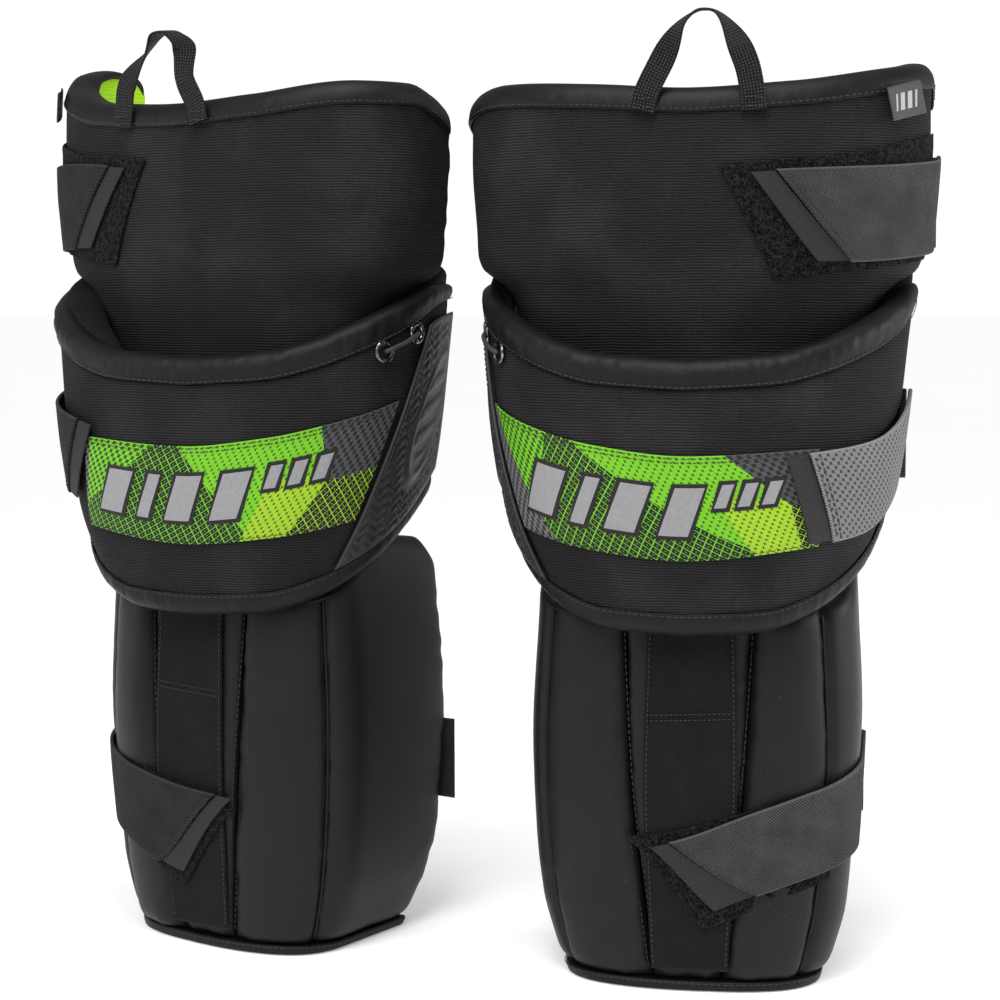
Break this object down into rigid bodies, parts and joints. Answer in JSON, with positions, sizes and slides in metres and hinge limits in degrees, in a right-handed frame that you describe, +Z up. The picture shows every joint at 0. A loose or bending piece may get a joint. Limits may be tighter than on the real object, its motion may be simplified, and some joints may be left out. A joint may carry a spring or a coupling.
{
  "type": "goalie knee and thigh pads",
  "caption": "Mirrored pair of goalie knee and thigh pads: padded thigh guard, hinged knee cup with bright band and rubber wing, shin guard, closing straps and pull loop.",
  "frame": {"origin": "middle of the pair on the floor, under the centre of its bounding box", "axes": "+Z up along the legs; the pads face -Y, turned a little towards -X; +X runs from the left pad to the right pad as seen from the front"},
  "size_m": [0.4918, 0.2875, 0.5105],
  "materials": {
    "ribbed_knit": "matte ribbed knit",
    "smooth_knit": "matte fine knit",
    "nylon": "satin woven nylon",
    "loop_pile": "brushed loop pile",
    "elastic": "ribbed woven elastic",
    "webbing": "coarse woven webbing",
    "green_liner": "bright knit over foam",
    "green_band": "printed mesh",
    "grey_tab": "perforated microfibre",
    "rubber": "embossed satin",
    "plate_plastic": "moulded",
    "foam": "knit over soft foam",
    "dark_steel": "blackened",
    "cord": "braided",
    "tag_knit": "woven label"
  },
  "bodies": {
    "left_shin": {"left_shin_front": "nylon", "left_shin_wing_inner": "nylon", "left_shin_wing_outer": "nylon", "left_shin_plate": "plate_plastic", "left_shin_liner": "foam", "left_shin_hem": "smooth_knit", "left_shin_elastic": "elastic", "left_calf_patch": "loop_pile"},
    "left_cup": {"left_cup_shell": "ribbed_knit", "left_cup_cap": "plate_plastic", "left_cup_liner": "foam", "left_cup_upper_rim": "smooth_knit", "left_cup_lower_rim": "smooth_knit", "left_graphic_band": "green_band", "left_wing": "rubber", "left_eyelet_front": "dark_steel", "left_eyelet_rear": "dark_steel", "left_lace": "cord"},
    "left_thigh": {"left_thigh_shell": "ribbed_knit", "left_thigh_liner": "green_liner", "left_thigh_facing": "smooth_knit", "left_thigh_patch": "loop_pile", "left_size_tag": "tag_knit"},
    "left_loop": {"left_pull_loop": "webbing"},
    "left_thigh_strap": {"left_thigh_strap": "elastic"},
    "left_thigh_tab": {"left_thigh_tab": "elastic"},
    "left_knee_strap": {"left_knee_strap": "elastic"},
    "left_knee_tab": {"left_knee_tab": "grey_tab"},
    "left_calf_strap": {"left_calf_strap": "elastic"},
    "left_calf_tab": {"left_calf_tab": "elastic"},
    "right_shin": {"right_shin_front": "nylon", "right_shin_wing_inner": "nylon", "right_shin_wing_outer": "nylon", "right_shin_plate": "plate_plastic", "right_shin_liner": "foam", "right_shin_hem": "smooth_knit", "right_shin_elastic": "elastic", "right_calf_patch": "loop_pile"},
    "right_cup": {"right_cup_shell": "ribbed_knit", "right_cup_cap": "plate_plastic", "right_cup_liner": "foam", "right_cup_upper_rim": "smooth_knit", "right_cup_lower_rim": "smooth_knit", "right_graphic_band": "green_band", "right_wing": "rubber", "right_eyelet_front": "dark_steel", "right_eyelet_rear": "dark_steel", "right_lace": "cord"},
    "right_thigh": {"right_thigh_shell": "ribbed_knit", "right_thigh_liner": "green_liner", "right_thigh_facing": "smooth_knit", "right_thigh_patch": "loop_pile", "right_size_tag": "tag_knit"},
    "right_loop": {"right_pull_loop": "webbing"},
    "right_thigh_strap": {"right_thigh_strap": "elastic"},
    "right_thigh_tab": {"right_thigh_tab": "elastic"},
    "right_knee_strap": {"right_knee_strap": "elastic"},
    "right_knee_tab": {"right_knee_tab": "grey_tab"},
    "right_calf_strap": {"right_calf_strap": "elastic"},
    "right_calf_tab": {"right_calf_tab": "elastic"}
  },
  "joints": [
    {"name": "left_cup_hinge", "type": "hinge", "parent": "left_shin", "child": "left_cup", "pos_m": [-0.11812, 0.0566, 0.244], "axis": [-0.9397, 0.342, 0], "range_deg": [0, 30]},
    {"name": "left_thigh_hinge", "type": "hinge", "parent": "left_cup", "child": "left_thigh", "pos_m": [-0.11319, 0.04963, 0.383], "axis": [-0.9397, 0.342, 0], "range_deg": [0, 60]},
    {"name": "left_loop_hinge", "type": "hinge", "parent": "left_thigh", "child": "left_loop", "pos_m": [-0.16715, -0.03037, 0.459], "axis": [0.9397, -0.342, 0], "range_deg": [0, 35], "stiffness_Nm_per_rad": 0.01},
    {"name": "left_thigh_strap_swing", "type": "hinge", "parent": "left_thigh", "child": "left_thigh_strap", "pos_m": [-0.01126, -0.02243, 0.417], "axis": [0, 0, -1], "range_deg": [0, 40]},
    {"name": "left_thigh_tab_peel", "type": "hinge", "parent": "left_thigh_strap", "child": "left_thigh_tab", "pos_m": [-0.21868, 0.11712, 0.417], "axis": [0, 0, -1], "range_deg": [0, 100]},
    {"name": "left_knee_strap_swing", "type": "hinge", "parent": "left_cup", "child": "left_knee_strap", "pos_m": [-0.01955, 0.00424, 0.294], "axis": [0, 0, -1], "range_deg": [0, 60]},
    {"name": "left_knee_tab_peel", "type": "hinge", "parent": "left_knee_strap", "child": "left_knee_tab", "pos_m": [-0.22776, 0.0797, 0.294], "axis": [0, 0, -1], "range_deg": [0, 90]},
    {"name": "left_calf_strap_swing", "type": "hinge", "parent": "left_shin", "child": "left_calf_strap", "pos_m": [-0.0162, 0.04109, 0.0975], "axis": [0, 0, -1], "range_deg": [0, 60]},
    {"name": "left_calf_tab_peel", "type": "hinge", "parent": "left_calf_strap", "child": "left_calf_tab", "pos_m": [-0.16599, 0.14176, 0.0975], "axis": [0, 0, -1], "range_deg": [0, 90]},
    {"name": "right_lift", "type": "slide", "parent": "left_shin", "child": "right_shin", "axis": [0, 0, 1], "range_m": [0, 0.6]},
    {"name": "right_cup_hinge", "type": "hinge", "parent": "right_shin", "child": "right_cup", "pos_m": [0.12274, -0.01988, 0.244], "axis": [-0.9848, 0.1736, 0], "range_deg": [0, 30]},
    {"name": "right_thigh_hinge", "type": "hinge", "parent": "right_cup", "child": "right_thigh", "pos_m": [0.12205, -0.02382, 0.383], "axis": [-0.9848, 0.1736, 0], "range_deg": [0, 60]},
    {"name": "right_loop_hinge", "type": "hinge", "parent": "right_thigh", "child": "right_loop", "pos_m": [0.10529, -0.11886, 0.459], "axis": [0.9848, -0.1736, 0], "range_deg": [0, 35], "stiffness_Nm_per_rad": 0.01},
    {"name": "right_thigh_strap_swing", "type": "hinge", "parent": "right_thigh", "child": "right_thigh_strap", "pos_m": [-0.00132, -0.00485, 0.417], "axis": [0, 0, 1], "range_deg": [0, 40]},
    {"name": "right_thigh_tab_peel", "type": "hinge", "parent": "right_thigh_strap", "child": "right_thigh_tab", "pos_m": [0.24482, -0.04855, 0.417], "axis": [0, 0, 1], "range_deg": [0, 100]},
    {"name": "right_knee_strap_swing", "type": "hinge", "parent": "right_cup", "child": "right_knee_strap", "pos_m": [0.0112, -0.01594, 0.294], "axis": [0, 0, 1], "range_deg": [0, 60]},
    {"name": "right_knee_tab_peel", "type": "hinge", "parent": "right_knee_strap", "child": "right_knee_tab", "pos_m": [0.22925, -0.05469, 0.294], "axis": [0, 0, 1], "range_deg": [0, 90]},
    {"name": "right_calf_strap_swing", "type": "hinge", "parent": "right_shin", "child": "right_calf_strap", "pos_m": [0.04178, 0.03944, 0.0975], "axis": [0, 0, 1], "range_deg": [0, 60]},
    {"name": "right_calf_tab_peel", "type": "hinge", "parent": "right_calf_strap", "child": "right_calf_tab", "pos_m": [0.21946, 0.00781, 0.0975], "axis": [0, 0, 1], "range_deg": [0, 90]}
  ],
  "couplings": [
    {"joint": "left_thigh_tab_peel", "follows": "left_thigh_strap_swing", "ratio": 2.5},
    {"joint": "left_knee_tab_peel", "follows": "left_knee_strap_swing", "ratio": 1.5},
    {"joint": "left_calf_tab_peel", "follows": "left_calf_strap_swing", "ratio": 1.5},
    {"joint": "right_thigh_tab_peel", "follows": "right_thigh_strap_swing", "ratio": 2.5},
    {"joint": "right_knee_tab_peel", "follows": "right_knee_strap_swing", "ratio": 1.5},
    {"joint": "right_calf_tab_peel", "follows": "right_calf_strap_swing", "ratio": 1.5}
  ]
}
